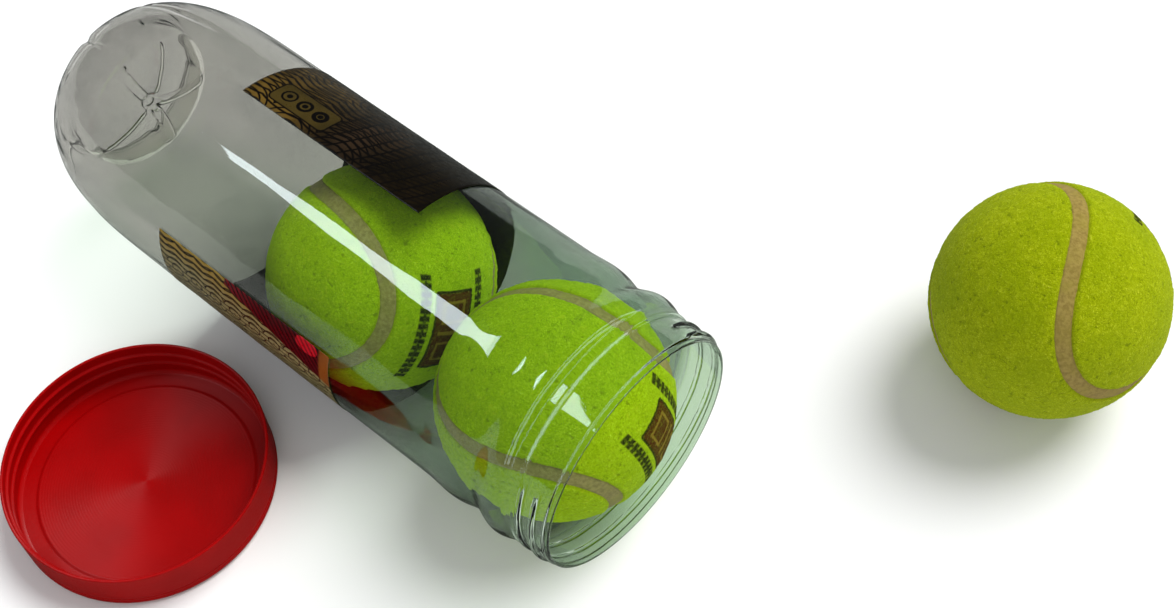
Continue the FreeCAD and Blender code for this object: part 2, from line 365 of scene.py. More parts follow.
def can_shell():
    """The bottle as one closed shell. Its attribute "outer" is 1 on the outside and 0 on the inside."""
    run, side = can_profile()
    alpha = np.arange(CAN_COLUMNS) * 360.0 / CAN_COLUMNS
    r = np.repeat(run[:, :1], CAN_COLUMNS, axis=1)
    t = np.repeat(run[:, 1:], CAN_COLUMNS, axis=1)
    out = np.repeat(side[:, None], CAN_COLUMNS, axis=1)
    ang = np.repeat(alpha[None, :], len(run), axis=0)
    on_band = (t > BAND_START) & (t < BAND_END + 0.4) & (out > 0.5)
    r = r + np.where(on_band, thread_height(t, ang), 0)
    # ribs pressed into the pushed-up panel, and shallow valleys between the five feet of the heel
    on_panel = (t > PANEL_AT - 3) & (r < PANEL_R + 0.5)
    past_rib = smoothstep(RIB_END - 1.2, RIB_END + 0.5, r)
    in_rib = smoothstep(RIB_START - 0.6, RIB_START + 0.8, r) * (1 - past_rib)
    in_valley = smoothstep(PANEL_R - 0.5, PANEL_R + 3, r) * smoothstep(*VALLEY_FADE, t)
    slope = np.gradient(run, axis=0)
    slope /= np.maximum(np.linalg.norm(slope, axis=1, keepdims=True), 1e-9)
    facing = np.where(side > 0.5, 1.0, -1.0)[:, None]
    normal_r = np.repeat(facing * slope[:, 1:], CAN_COLUMNS, axis=1)
    normal_t = np.repeat(-facing * slope[:, :1], CAN_COLUMNS, axis=1)
    rod = np.where(out > 0.5, RIB_R, RIB_R + WALL)
    shift = np.where(out > 0.5, 0.0, WALL)
    bump = np.zeros_like(r)
    valley = np.zeros_like(r)
    for tip, swirl in RIBS:
        centre_line = tip + swirl * np.clip(1 - r / RIB_END, 0, 1)
        off = (ang - centre_line + 180) % 360 - 180
        across = np.where(np.abs(off) < 80, np.abs(r * np.sin(np.radians(off))), 99.0)
        bump = np.maximum(bump, np.sqrt(np.maximum(rod**2 - across**2, 0)) - shift)
        valley = np.maximum(valley, np.exp(-((across / VALLEY_WIDTH) ** 2)) * VALLEY_DEPTH)
    t = t - np.where(on_panel, bump * in_rib, 0)
    r = r - valley * in_valley * normal_r
    t = t - valley * in_valley * normal_t
    # gate mark in the middle of the panel, and the slow waviness of a blown wall
    ring = np.exp(-(((r - GATE_RING_R) / GATE_RING_WIDTH) ** 2))
    gate = GATE_NUB * smoothstep(1.0, 0.6, r) + GATE_RING * ring
    t = t + np.where(on_panel & (out > 0.5), gate, 0)
    rad = np.radians(ang)
    wave = sum(high * np.sin(rad * around + t / along) for high, around, along in WALL_WAVES)
    r = r + wave * smoothstep(30, 60, t) * (r > 30)
    points = np.stack([-t, r * np.sin(rad), -r * np.cos(rad)], axis=-1).reshape(-1, 3)
    ends = [(-t[0].mean(), 0, 0), (-t[-1].mean(), 0, 0)]
    obj = spun("can_shell", points, CAN_COLUMNS, ends)
    point_values(obj, "outer", np.concatenate([out.reshape(-1), [0.0, 1.0]]))
    return obj


# ================================================================ label
def label_film():
    """A thin closed film round the wall, with the small ripples of a glued-on print."""
    columns = 300
    rows = 90
    phi = np.radians(np.linspace(LABEL_FROM, LABEL_TO, columns))
    t = np.linspace(LABEL_FRONT, LABEL_BACK, rows)
    grid_t, grid_p = np.meshgrid(t, phi, indexing="ij")
    ripple = LABEL_RIPPLE * np.sin(grid_t * 0.35 + 3 * grid_p) * np.sin(grid_p * 6)
    edge = smoothstep(0, 1.5, (grid_p - phi[0]) * BODY_R)
    edge = edge * smoothstep(0, 1.5, (phi[-1] - grid_p) * BODY_R)
    layers = []
    for face_r in (LABEL_IN_R, LABEL_OUT_R):
        r = face_r + LABEL_LIFT + ripple * edge
        layer = np.stack([-grid_t, r * np.sin(grid_p), r * np.cos(grid_p)], axis=-1)
        layers.append(layer.reshape(-1, 3))
    n = rows * columns
    faces = grid_faces(rows, columns)
    faces += [tuple(n + v for v in reversed(f)) for f in grid_faces(rows, columns)]
    border = list(range(columns))
    border += [i * columns + columns - 1 for i in range(1, rows)]
    border += [(rows - 1) * columns + j for j in range(columns - 2, -1, -1)]
    border += [i * columns for i in range(rows - 2, 0, -1)]
    for a, b in zip(border, border[1:] + border[:1]):
        faces.append((b, a, n + a, n + b))
    return outward(mesh_object("label_film", np.vstack(layers), faces))


# ================================================================ balls
def seam_point(s):
    """Points of the seam on a unit sphere at the parameters s, and the directions across it."""
    a = 1 - SEAM_SHAPE
    b = SEAM_SHAPE
    lift = 2 * math.sqrt(a * b)
    point = np.stack(
        [
            a * np.cos(s) + b * np.cos(3 * s),
            a * np.sin(s) - b * np.sin(3 * s),
            lift * np.sin(2 * s),
        ],
        axis=-1,
    )
    ahead = np.stack(
        [
            -a * np.sin(s) - 3 * b * np.sin(3 * s),
            a * np.cos(s) - 3 * b * np.cos(3 * s),
            2 * lift * np.cos(2 * s),
        ],
        axis=-1,
    )
    side = np.cross(point, ahead)
    side /= np.linalg.norm(side, axis=1, keepdims=True)
    return point, side


def ball_turn(angles):
    """The rotation matrix of yaw, pitch and roll in degrees."""
    yaw, pitch, roll = [Matrix.Rotation(math.radians(a), 3, axis) for a, axis in zip(angles, "ZYX")]
    return np.array(yaw @ pitch @ roll)


def unit_sphere():
    """Even triangles over a unit sphere, with each point's distance (mm) and side from the seam."""
    bm = bmesh.new()
    bmesh.ops.create_icosphere(bm, subdivisions=7, radius=1)
    points = np.array([v.co[:] for v in bm.verts])
    faces = np.array([[v.index for v in f.verts] for f in bm.faces])
    bm.free()
    points /= np.linalg.norm(points, axis=1, keepdims=True)
    seam, side = seam_point(np.linspace(0, 2 * math.pi, SEAM_SAMPLES, endpoint=False))
    nearest = np.empty(len(points), int)
    batch = 4000
    for i in range(0, len(points), batch):
        nearest[i : i + batch] = (points[i : i + batch] @ seam.T).argmax(axis=1)
    dot = np.clip((points * seam[nearest]).sum(axis=1), -1, 1)
    away = np.arccos(dot) * BALL_R
    sign = np.sign((points * side[nearest]).sum(axis=1))
    return points, faces, away * sign


SPHERE = unit_sphere()


def nap(points, seed):
    """Height of the felt's raised nap at points given in millimetres."""
    shift = Vector((seed * 31.7, seed * 11.3, seed * 5.9))
    heights = np.empty(len(points))
    for i, p in enumerate(points):
        v = Vector(p) + shift
        heights[i] = 0
        for height, fineness in NAP:
            heights[i] += height * noise.noise(v * fineness)
    return heights


def felt_halves(name, centre, turn, seed):
    """The two felt panels, which dip into the seam between them."""
    points, faces, signed = SPHERE
    away = np.abs(signed)
    rise = smoothstep(SEAM_HALF - 0.7, SEAM_HALF + 0.9, away)
    puff = 0.10 * np.exp(-(((away - SEAM_HALF - 1.8) / 1.5) ** 2))
    height = nap(points * BALL_R, seed)
    r = BALL_R - 0.14 - 1.0 * (1 - rise) + puff + height * (0.3 + 0.7 * rise)
    placed = (points * r[:, None]) @ turn.T + centre
    middle = signed[faces].mean(axis=1)
    halves = []
    for part, keep in (("felt_a", middle < 0), ("felt_b", middle >= 0)):
        used = faces[keep]
        number = -np.ones(len(points), int)
        ids = np.unique(used)
        number[ids] = np.arange(len(ids))
        obj = mesh_object(f"{name}_{part}", placed[ids], [tuple(f) for f in number[used]])
        point_values(obj, "seam_away", away[ids])
        # the nap's height, from which the felt's material paints shade into the hollows and a highlight
        # onto the tufts
        point_values(obj, "nap", height[ids] / 0.32 + 0.5)
        halves.append(obj)
    return halves


def seam_strip(name, centre, turn, seed):
    """The rubbery cement that fills the gap between the two felt panels."""
    seam, side = seam_point(np.linspace(0, 2 * math.pi, SEAM_STEPS, endpoint=False))
    half = SEAM_HALF + 0.5
    foot_r, edge_r, face_r, crown = 30.6, 31.8, 32.36, 0.12
    section = [(-half, foot_r), (-half, edge_r)]
    for x in np.linspace(-half + 0.3, half - 0.3, 9):
        section.append((x, face_r + crown * (1 - (x / half) ** 2)))
    section += [(half, edge_r), (half, foot_r)]
    rows = []
    for i in range(SEAM_STEPS):
        ring = []
        for x, r in section:
            tilt = x / BALL_R
            direction = seam[i] * math.cos(tilt) + side[i] * math.sin(tilt)
            wobble = 0.0
            if r > edge_r:
                coarse = noise.noise(Vector(direction * 22 + seed))
                fine = noise.noise(Vector(direction * 60 + seed))
                wobble = 0.06 * coarse + 0.03 * fine
            ring.append(direction * (r + wobble))
        rows.append(ring)
    points = np.array(rows).reshape(-1, 3) @ turn.T + centre
    faces = grid_faces(SEAM_STEPS, len(section), close_rows=True, close_columns=True)
    return outward(mesh_object(f"{name}_seam", points, faces))


# ================================================================ cap
def cap_profile():
    """Points (r, z) from the middle of the flat top, round the skirt, to the middle of the disc."""
    run = straight((0.3, 0.0), (CAP_R - CAP_CORNER, 0.0), 20)
    for a in np.linspace(0, math.pi / 2, 9):
        run.append((CAP_R - CAP_CORNER * (1 - math.sin(a)), CAP_CORNER * (1 - math.cos(a))))
    for z in np.arange(CAP_CORNER + 0.15, CAP_HEIGHT - CAP_RIM, 0.15):
        groove = sum(math.exp(-(((z - g) / CAP_GROOVE_WIDTH) ** 2)) for g in CAP_GROOVES)
        run.append((CAP_R - CAP_GROOVE_DEPTH * groove, z))
    half = (CAP_R - CAP_BORE) / 2
    for a in np.linspace(0, math.pi, 9):
        run.append((CAP_R - half + half * math.cos(a), CAP_HEIGHT - CAP_RIM + CAP_RIM * math.sin(a)))
    corner = CAP_BORE_CORNER
    for z in np.arange(CAP_HEIGHT - 0.6, CAP_TOP + corner, -0.22):
        run.append((CAP_BORE, z))
    for a in np.linspace(0, math.pi / 2, 7):
        run.append((CAP_BORE - corner * math.sin(a) ** 2, CAP_TOP + corner * (1 - math.sin(a))))
    run += straight((CAP_BORE - 1.3, CAP_TOP), (DISC_R + 1.1, CAP_TOP), 6)
    for x in np.linspace(0, 1, 9):
        run.append((DISC_R + 0.9 - 1.2 * x, CAP_TOP + DISC_HEIGHT * x * x * (3 - 2 * x)))
    for r in np.arange(DISC_R - 0.4, 0.4, -0.2):
        ring = 0.5 - 0.5 * math.cos(2 * math.pi * r / RING_PITCH)
        run.append((r, CAP_TOP + DISC_HEIGHT - RING_DEPTH * ring))
    return np.array(run)


def cap_moulding(centre):
    """The cap as one moulding, with its inside thread and the fine rings left by a turned mould."""
    run = cap_profile()
    ang = np.repeat(np.arange(CAP_COLUMNS)[None, :] * 360.0 / CAP_COLUMNS, len(run), axis=0)
    r = np.repeat(run[:, :1], CAP_COLUMNS, axis=1)
    z = np.repeat(run[:, 1:], CAP_COLUMNS, axis=1)
    on_bore = np.abs(r - CAP_BORE) < 0.05
    turn = (ang - CAP_THREAD_ANGLE) % 360
    ends = thread_ends(turn)
    for i in range(THREAD_RIDGES):
        ridge_z = CAP_THREAD_START + i * THREAD_PITCH + THREAD_PITCH * turn / 360
        flank = smoothstep(*CAP_THREAD_FLANK, np.abs(z - ridge_z))
        r = r - np.where(on_bore, THREAD_HEIGHT * (1 - flank) * ends, 0)
    rad = np.radians(ang)
    points = np.stack([r * np.cos(rad), r * np.sin(rad), z], axis=-1).reshape(-1, 3)
    ends = np.array([(0, 0, run[0, 1]), (0, 0, run[-1, 1])])
    return spun("cap_moulding", points + np.array(centre), CAP_COLUMNS, ends + np.array(centre))


# ================================================================ shader helpers
def srgb(r, g, b):
    """Linear colour of an 8-bit display colour."""
    shares = [c / 255 for c in (r, g, b)]
    linear = [v / 12.92 if v <= 10 / 255 else ((v + 0.055) / 1.055) ** 2.4 for v in shares]
    return (*linear, 1.0)


class Shader:
    """Short calls for building a material's nodes. Sockets and plain values both work as inputs."""

    def __init__(self, name):
        self.mat = bpy.data.materials.new(name)
        self.mat.use_nodes = True
        self.tree = self.mat.node_tree
        self.tree.nodes.clear()

    def put(self, socket, value):
        if isinstance(value, bpy.types.NodeSocket):
            self.tree.links.new(value, socket)
        elif value is not None:
            socket.default_value = value

    def node(self, kind, inputs=None, **settings):
        n = self.tree.nodes.new(kind)
        for key, value in settings.items():
            setattr(n, key, value)
        for key, value in (inputs or {}).items():
            self.put(n.inputs[key], value)
        return n

    def math(self, op, a, b=None):
        n = self.node("ShaderNodeMath", operation=op)
        self.put(n.inputs[0], a)
        self.put(n.inputs[1], b)
        return n.outputs[0]

    def vec(self, op, a, b=None, scale=None):
        n = self.node("ShaderNodeVectorMath", operation=op)
        self.put(n.inputs[0], a)
        if b is not None:
            self.put(n.inputs[1], b)
        if scale is not None:
            self.put(n.inputs["Scale"], scale)
        return n.outputs["Value" if op in ("DOT_PRODUCT", "LENGTH") else "Vector"]

    def mix(self, share, a, b):
        n = self.node("ShaderNodeMix", data_type="RGBA")
        self.put(n.inputs[0], share)
        self.put(n.inputs[6], a)
        self.put(n.inputs[7], b)
        return n.outputs[2]

    def ramp(self, value, stops):
        n = self.node("ShaderNodeValToRGB", {0: value})
        ramp = n.color_ramp
        while len(ramp.elements) < len(stops):
            ramp.elements.new(0.5)
        for element, (place, colour) in zip(ramp.elements, stops):
            element.position = place
            element.color = colour
        return n.outputs[0]

    def range(self, value, low, high, to_low=0.0, to_high=1.0):
        """A smooth change from to_low to to_high while the value goes from low to high."""
        n = self.node("ShaderNodeMapRange", {0: value, 1: low, 2: high, 3: to_low, 4: to_high})
        n.interpolation_type = "SMOOTHSTEP"
        return n.outputs[0]

    def noise(self, vector, scale, detail=2.0, rough=0.5, distort=0.0):
        inputs = {"Vector": vector, "Scale": scale, "Detail": detail}
        inputs.update({"Roughness": rough, "Distortion": distort})
        return self.node("ShaderNodeTexNoise", inputs).outputs[0]

    def turned(self, vector, kind, source, target):
        """A vector or normal changed from one space to another."""
        settings = {"vector_type": kind, "convert_from": source, "convert_to": target}
        return self.node("ShaderNodeVectorTransform", {0: vector}, **settings).outputs[0]

    def place(self):
        """The point in the row frame in millimetres, as a vector."""
        coord = self.node("ShaderNodeTexCoord").outputs["Object"]
        return self.vec("SCALE", coord, scale=1 / MM)

    def split(self, vector):
        return self.node("ShaderNodeSeparateXYZ", {0: vector}).outputs

    def join(self, x, y, z=0.0):
        return self.node("ShaderNodeCombineXYZ", {0: x, 1: y, 2: z}).outputs[0]

    def bump(self, height, distance, strength=1.0):
        inputs = {"Height": height, "Distance": distance * MM, "Strength": strength}
        return self.node("ShaderNodeBump", inputs).outputs[0]

    def finish(self, shader):
        out = self.node("ShaderNodeOutputMaterial")
        self.tree.links.new(shader, out.inputs["Surface"])
        return self.mat

    def principled(self, **inputs):
        """Finish the material with a Principled BSDF; an underscore in an input's name is a space."""
        named = {key.replace("_", " "): value for key, value in inputs.items()}
        return self.finish(self.node("ShaderNodeBsdfPrincipled", named).outputs[0])


# ================================================================ materials
PET_IOR = 1.57


def clear_plastic():
    """Clear PET: it refracts and mirrors to the eye, and lets shadow and diffuse rays through."""
    s = Shader("clear_plastic")
    p = s.place()
    x = s.split(p)["X"]
    outer = s.node("ShaderNodeAttribute", attribute_name="outer").outputs["Fac"]
    back = s.node("ShaderNodeNewGeometry").outputs["Backfacing"]
    # 1 on the wall nearest the eye, 0 on the wall seen through the can
    near = s.math("ABSOLUTE", s.math("SUBTRACT", outer, back))
    neck = s.range(x, -150.0, -60.0)
    lip = s.range(x, -17.0, -10.0)
    # painted shade: the wall seen through the can greys what lies behind it, darker and greener towards
    # the neck, in patches, and lighter at the lip
    far_wall_shade = s.mix(neck, srgb(201, 200, 197), srgb(174, 188, 177))
    cloud = s.noise(p, 0.035, 4.0, 0.6)
    far_wall_shade = s.mix(s.range(cloud, 0.35, 0.7, 0.0, 0.5), far_wall_shade, srgb(186, 186, 184))
    far_wall_shade = s.mix(lip, far_wall_shade, srgb(216, 228, 216))
    near_tint = s.mix(neck, srgb(252, 252, 250), srgb(246, 252, 245))
    ray = s.node("ShaderNodeLightPath").outputs
    # the far wall's painted shade goes on its first crossing only; folds behind it stay clear
    deep = s.math("GREATER_THAN", ray["Transmission Depth"], 3.5)
    # the near wall keeps the plastic's own faint tint; the far wall carries the painted shade
    tint_and_shade = s.mix(s.math("MAXIMUM", near, deep), far_wall_shade, near_tint)
    ripple = s.noise(s.vec("MULTIPLY", p, (0.02, 0.09, 0.09)), 1.0, 2.0)
    normal = s.bump(ripple, 0.35, 0.5)
    scratch = s.noise(s.vec("MULTIPLY", p, (0.25, 2.2, 2.2)), 1.0, 4.0, 0.7)
    rough = s.range(scratch, 0.45, 0.85, 0.02, 0.10)
    inputs = {"Color": tint_and_shade, "Roughness": 0.0, "IOR": PET_IOR, "Normal": normal}
    glass = s.node("ShaderNodeBsdfRefraction", inputs)
    inputs = {"Color": (1, 1, 1, 1), "Roughness": rough, "Normal": normal}
    gloss = s.node("ShaderNodeBsdfGlossy", inputs)
    fresnel = s.node("ShaderNodeFresnel", {"IOR": PET_IOR, "Normal": normal}).outputs[0]
    seen = s.node("ShaderNodeMixShader", {0: fresnel, 1: glass.outputs[0], 2: gloss.outputs[0]})
    clear = s.node("ShaderNodeBsdfTransparent", {"Color": srgb(247, 250, 247)})
    skip = s.math("MAXIMUM", ray["Is Shadow Ray"], ray["Is Diffuse Ray"])
    both = s.node("ShaderNodeMixShader", {0: skip, 1: seen.outputs[0], 2: clear.outputs[0]})
    return s.finish(both.outputs[0])


def lines(s, value, pitch, width):
    """1 on repeated lines across a value, 0 between them."""
    saw = s.math("FRACT", s.math("DIVIDE", value, pitch))
    away = s.math("ABSOLUTE", s.math("SUBTRACT", saw, 0.5))
    return s.range(away, 0.5 - width * 0.5, 0.5 - width * 0.15)


def fans(s, u, v, centre_u, centre_v, apart, ring, width):
    """Rings drawn about a row of centres; the sets meet in cusps half way between two centres."""
    share = s.math("DIVIDE", s.math("SUBTRACT", u, centre_u), apart)
    share = s.math("SUBTRACT", s.math("FRACT", s.math("ADD", share, 0.5)), 0.5)
    du = s.math("MULTIPLY", share, apart)
    dv = s.math("SUBTRACT", v, centre_v)
    return lines(s, s.vec("LENGTH", s.join(du, dv)), ring, width)


def box_mask(s, u, v, centre_u, centre_v, half_u, half_v, corner, soft=0.15):
    """1 inside a rounded rectangle."""
    du = s.math("SUBTRACT", s.math("ABSOLUTE", s.math("SUBTRACT", u, centre_u)), half_u - corner)
    dv = s.math("SUBTRACT", s.math("ABSOLUTE", s.math("SUBTRACT", v, centre_v)), half_v - corner)
    away = s.vec("LENGTH", s.join(s.math("MAXIMUM", du, 0.0), s.math("MAXIMUM", dv, 0.0)))
    return s.range(away, corner + soft, corner - soft)


def label_print():
    """A plain gold and dark net print: arcs, crossed lines, a red field and a badge of rings."""
    s = Shader("label_print")
    p = s.place()
    x, y, z = s.split(p)
    u = s.math("MULTIPLY", x, -1.0)
    turn = s.math("ARCTAN2", y, z)
    turn = s.math("ADD", turn, s.math("MULTIPLY", s.math("LESS_THAN", turn, 0.0), 2 * math.pi))
    v = s.math("MULTIPLY", turn, BODY_R)
    black = srgb(8, 6, 5)
    # ground: gold at the closed end, brown in the middle, dark olive at the mouth
    patch = s.noise(s.join(u, v), 0.07, 3.0)
    gold = s.mix(s.range(patch, 0.35, 0.65), srgb(98, 76, 28), srgb(60, 46, 16))
    brown = s.mix(s.range(patch, 0.35, 0.65), srgb(46, 34, 22), srgb(27, 20, 11))
    olive = s.mix(s.range(patch, 0.35, 0.65), srgb(26, 19, 7), srgb(16, 12, 4))
    ground = s.mix(s.range(u, 112.0, 136.0), brown, gold)
    ground = s.mix(s.range(u, 112.0, 92.0), ground, olive)
    ground = s.mix(s.range(v, 22.0, 40.0), ground, olive)
    # rings about two rows of centres, crossed by slanted lines that take over towards the mouth
    rings_a = fans(s, u, v, 111.0, 1.0, 17.0, 2.1, 0.42)
    rings_b = fans(s, u, v, 119.0, 34.0, 15.0, 2.3, 0.46)
    rings = s.math("MAXIMUM", rings_a, rings_b)
    rings = s.math("MULTIPLY", rings, s.range(u, 88.0, 100.0, 0.45, 1.0))
    bend = s.math("MULTIPLY", s.math("SINE", s.math("MULTIPLY", v, 0.12)), 3.0)
    slant = lines(s, s.math("ADD", s.math("ADD", u, bend), s.math("MULTIPLY", v, 0.35)), 4.2, 0.26)
    slant = s.math("MULTIPLY", slant, s.range(u, 128.0, 112.0))
    fine = lines(s, s.math("ADD", v, s.math("MULTIPLY", u, 0.3)), 1.5, 0.4)
    fine = s.math("MULTIPLY", fine, s.range(u, 104.0, 88.0))
    net = s.math("MAXIMUM", rings, s.math("MAXIMUM", slant, fine))
    colour = s.mix(net, ground, black)
    # below the clear window: a tan net, and a red field with dark lines that ends in an orange
    # strip; edge is the distance up from the film's lower edge
    edge = s.math("SUBTRACT", math.radians(LABEL_TO) * BODY_R, v)
    low = s.range(edge, 36.0, 26.0)
    tan = s.mix(s.range(edge, 2.0, 9.0), srgb(150, 124, 52), srgb(140, 132, 88))
    net_a = fans(s, u, edge, 120.0, -4.5, 8.0, 2.2, 0.38)
    net_b = fans(s, u, edge, 124.0, 12.0, 8.0, 2.2, 0.34)
    tan = s.mix(s.math("MAXIMUM", net_a, net_b), tan, black)
    red_lines = lines(s, s.math("ADD", u, s.math("MULTIPLY", edge, 0.9)), 2.3, 0.62)
    dark_red = s.mix(s.range(u, 118.0, 100.0), srgb(116, 6, 20), srgb(84, 4, 14))
    red = s.mix(red_lines, dark_red, srgb(20, 3, 6))
    spot_u = s.math("DIVIDE", s.math("SUBTRACT", u, 86.6), 4.2)
    spot_v = s.math("DIVIDE", s.math("SUBTRACT", edge, 2.0), 2.6)
    spot = s.range(s.vec("LENGTH", s.join(spot_u, spot_v)), 1.06, 0.94)
    bright = s.mix(s.math("MULTIPLY", red_lines, 0.75), srgb(200, 16, 34), srgb(90, 4, 14))
    red = s.mix(spot, red, bright)
    orange = s.mix(s.range(patch, 0.4, 0.65), srgb(138, 76, 22), srgb(100, 46, 16))
    red = s.mix(s.range(u, 82.2, 81.2), red, orange)
    border = s.math("ADD", 2.4, s.math("MULTIPLY", s.math("SUBTRACT", 119.5, u), 0.24))
    under = s.range(s.math("SUBTRACT", edge, border), 0.25, -0.25)
    inside = s.math("MULTIPLY", s.range(u, 119.6, 119.0), under)
    colour = s.mix(low, colour, s.mix(inside, tan, red))
    # plain gold badge with three round marks
    badge_u, badge_v, apart = 129.5, 12.4, 6.1
    badge = box_mask(s, u, v, badge_u, badge_v, 10.6, 4.3, 1.6)
    rim = box_mask(s, u, v, badge_u, badge_v, 11.1, 4.8, 2.0)
    colour = s.mix(rim, colour, black)
    plate = s.mix(s.range(patch, 0.3, 0.7), srgb(66, 54, 20), srgb(44, 36, 12))
    colour = s.mix(badge, colour, plate)
    for i, mark_u in enumerate((badge_u + apart, badge_u, badge_u - apart)):
        du = s.math("SUBTRACT", u, mark_u)
        dv = s.math("SUBTRACT", v, badge_v - 0.1)
        reach = s.vec("LENGTH", s.join(du, dv))
        disc = s.range(reach, 2.6, 2.4)
        hollow = s.range(reach, 1.75 - 0.35 * i, 1.95 - 0.35 * i)
        mark = s.math("MAXIMUM", s.math("MULTIPLY", disc, hollow), s.range(reach, 1.0, 0.8))
        colour = s.mix(mark, colour, black)
    # the glued side is dark
    geo = s.node("ShaderNodeNewGeometry")
    outwards = s.vec("NORMALIZE", s.join(0.0, y, z))
    local = s.turned(geo.outputs["Normal"], "NORMAL", "WORLD", "OBJECT")
    facing = s.math("GREATER_THAN", s.vec("DOT_PRODUCT", local, outwards), 0.0)
    inner = s.mix(s.noise(p, 0.08, 2.0), srgb(20, 27, 12), srgb(36, 46, 22))
    colour = s.mix(facing, inner, colour)
    rough = s.range(s.noise(p, 0.6, 3.0), 0.3, 0.7, 0.26, 0.42)
    ripple = s.bump(s.noise(s.vec("MULTIPLY", p, (0.12, 0.05, 0.05)), 1.0, 2.0), 0.4, 0.4)
    return s.principled(Base_Color=colour, Roughness=rough, Normal=ripple, Specular_IOR_Level=0.2)


def stamp(s, q, mark, along, grain):
    """A plain stamped badge: a panelled box between two rows of blocks.

    Returns how much ink the rows and the box carry, and the colour of the box.
    """
    c = Vector(mark).normalized()
    a = Vector(along)
    a = (a - c * a.dot(c)).normalized()
    b = c.cross(a)
    # q is measured from the ball's centre, so this keeps the stamp off the far side
    front = s.math("GREATER_THAN", s.vec("DOT_PRODUCT", q, tuple(c)), 5.0)
    reach = s.vec("NORMALIZE", q)
    u = s.math("MULTIPLY", s.math("ARCSINE", s.vec("DOT_PRODUCT", reach, tuple(a))), BALL_R)
    v = s.math("MULTIPLY", s.math("ARCSINE", s.vec("DOT_PRODUCT", reach, tuple(b))), BALL_R)
    fray = s.math("MULTIPLY", s.math("SUBTRACT", grain, 0.5), 1.6)
    u = s.math("ADD", u, fray)
    v = s.math("ADD", v, fray)
    wear = s.math("MULTIPLY", s.range(grain, 0.66, 0.46, 0.7, 1.0), front)
    from_row = s.math("ABSOLUTE", s.math("SUBTRACT", s.math("ABSOLUTE", v), 9.4))
    row = s.math("MULTIPLY", s.range(from_row, 1.75, 1.35), s.range(s.math("ABSOLUTE", u), 17.3, 16.9))
    notch = s.math("MULTIPLY", s.range(from_row, 0.55, 0.35), lines(s, u, 4.6, 1.3))
    blocks = s.math("MAXIMUM", lines(s, u, 2.3, 1.25), notch)
    rows = s.math("MULTIPLY", s.math("MULTIPLY", row, blocks), wear)
    box = s.math("MULTIPLY", box_mask(s, u, v, 0.0, 0.0, 12.5, 6.4, 0.8), wear)
    inner = box_mask(s, u, v, 0.0, 0.0, 11.7, 5.7, 0.6)
    frames = 0.0
    for middle in (-6.2, 6.2):
        pane = box_mask(s, u, v, middle, 0.0, 3.3, 3.9, 0.3)
        hole = box_mask(s, u, v, middle, 0.0, 2.5, 3.1, 0.3)
        frame_line = s.math("MULTIPLY", pane, s.math("SUBTRACT", 1.0, hole))
        frames = s.math("MAXIMUM", frames, frame_line)
    frames = s.math("MAXIMUM", frames, box_mask(s, u, v, 0.0, 0.0, 0.6, 4.4, 0.2))
    ink = s.mix(inner, srgb(22, 10, 4), srgb(74, 12, 6))
    ink = s.mix(frames, ink, srgb(136, 112, 34))
    return rows, box, ink


def felt(name, centre, mark, along, in_can):
    """Napped felt with a plain stamped badge. It is greener on the balls in the can and yellower on the
    ball outside it.
    """
    s = Shader(name)
    q = s.vec("SUBTRACT", s.place(), tuple(centre))
    nap_shade_and_highlight = s.node("ShaderNodeAttribute", attribute_name="nap").outputs["Fac"]
    swirl = s.noise(q, 0.10, 2.0, 0.5)
    fibre = s.noise(s.vec("ADD", q, s.join(swirl, swirl, swirl)), 0.95, 6.0, 0.75, 1.8)
    fine = s.noise(q, 3.4, 3.0, 0.65, 0.8)
    tone = s.math("ADD", s.math("MULTIPLY", fibre, 0.6), s.math("MULTIPLY", fine, 0.4))
    outside_colours = [
        (0.33, srgb(102, 120, 0)),
        (0.45, srgb(154, 172, 0)),
        (0.54, srgb(184, 200, 2)),
        (0.66, srgb(230, 236, 70)),
    ]
    in_can_colours = [
        (0.33, srgb(94, 132, 0)),
        (0.45, srgb(146, 188, 2)),
        (0.54, srgb(172, 214, 6)),
        (0.66, srgb(210, 238, 66)),
    ]
    colour = s.ramp(tone, in_can_colours if in_can else outside_colours)
    patch = s.noise(q, 0.07, 3.0, 0.6)
    worn = srgb(140, 176, 0) if in_can else srgb(142, 168, 0)
    colour = s.mix(s.range(patch, 0.35, 0.7, 0.0, 0.35), colour, worn)
    # painted shade in the low hollows of the nap, and a painted highlight on its high tufts
    colour = s.mix(s.range(nap_shade_and_highlight, 0.35, 0.0, 0.0, 0.55), colour, srgb(84, 108, 0))
    colour = s.mix(s.range(nap_shade_and_highlight, 0.6, 1.0, 0.0, 0.35), colour, srgb(206, 220, 40))
    away = s.node("ShaderNodeAttribute", attribute_name="seam_away").outputs["Fac"]
    by_seam = s.range(away, SEAM_HALF + 1.0, SEAM_HALF - 0.1, 0.0, 0.4)
    colour = s.mix(by_seam, colour, srgb(128, 126, 24))
    rows, box, ink = stamp(s, q, mark, along, tone)
    colour = s.mix(box, colour, ink)
    colour = s.mix(rows, colour, srgb(16, 22, 6))
    height = s.math("ADD", s.math("MULTIPLY", fibre, 0.7), s.math("MULTIPLY", fine, 0.5))
    return s.principled(
        Base_Color=colour,
        Roughness=s.range(tone, 0.3, 0.7, 0.95, 0.8),
        Specular_IOR_Level=0.12,
        Sheen_Weight=0.12,
        Sheen_Roughness=0.5,
        Sheen_Tint=srgb(190, 210, 60),
        Normal=s.bump(height, 1.1, 0.9),
    )


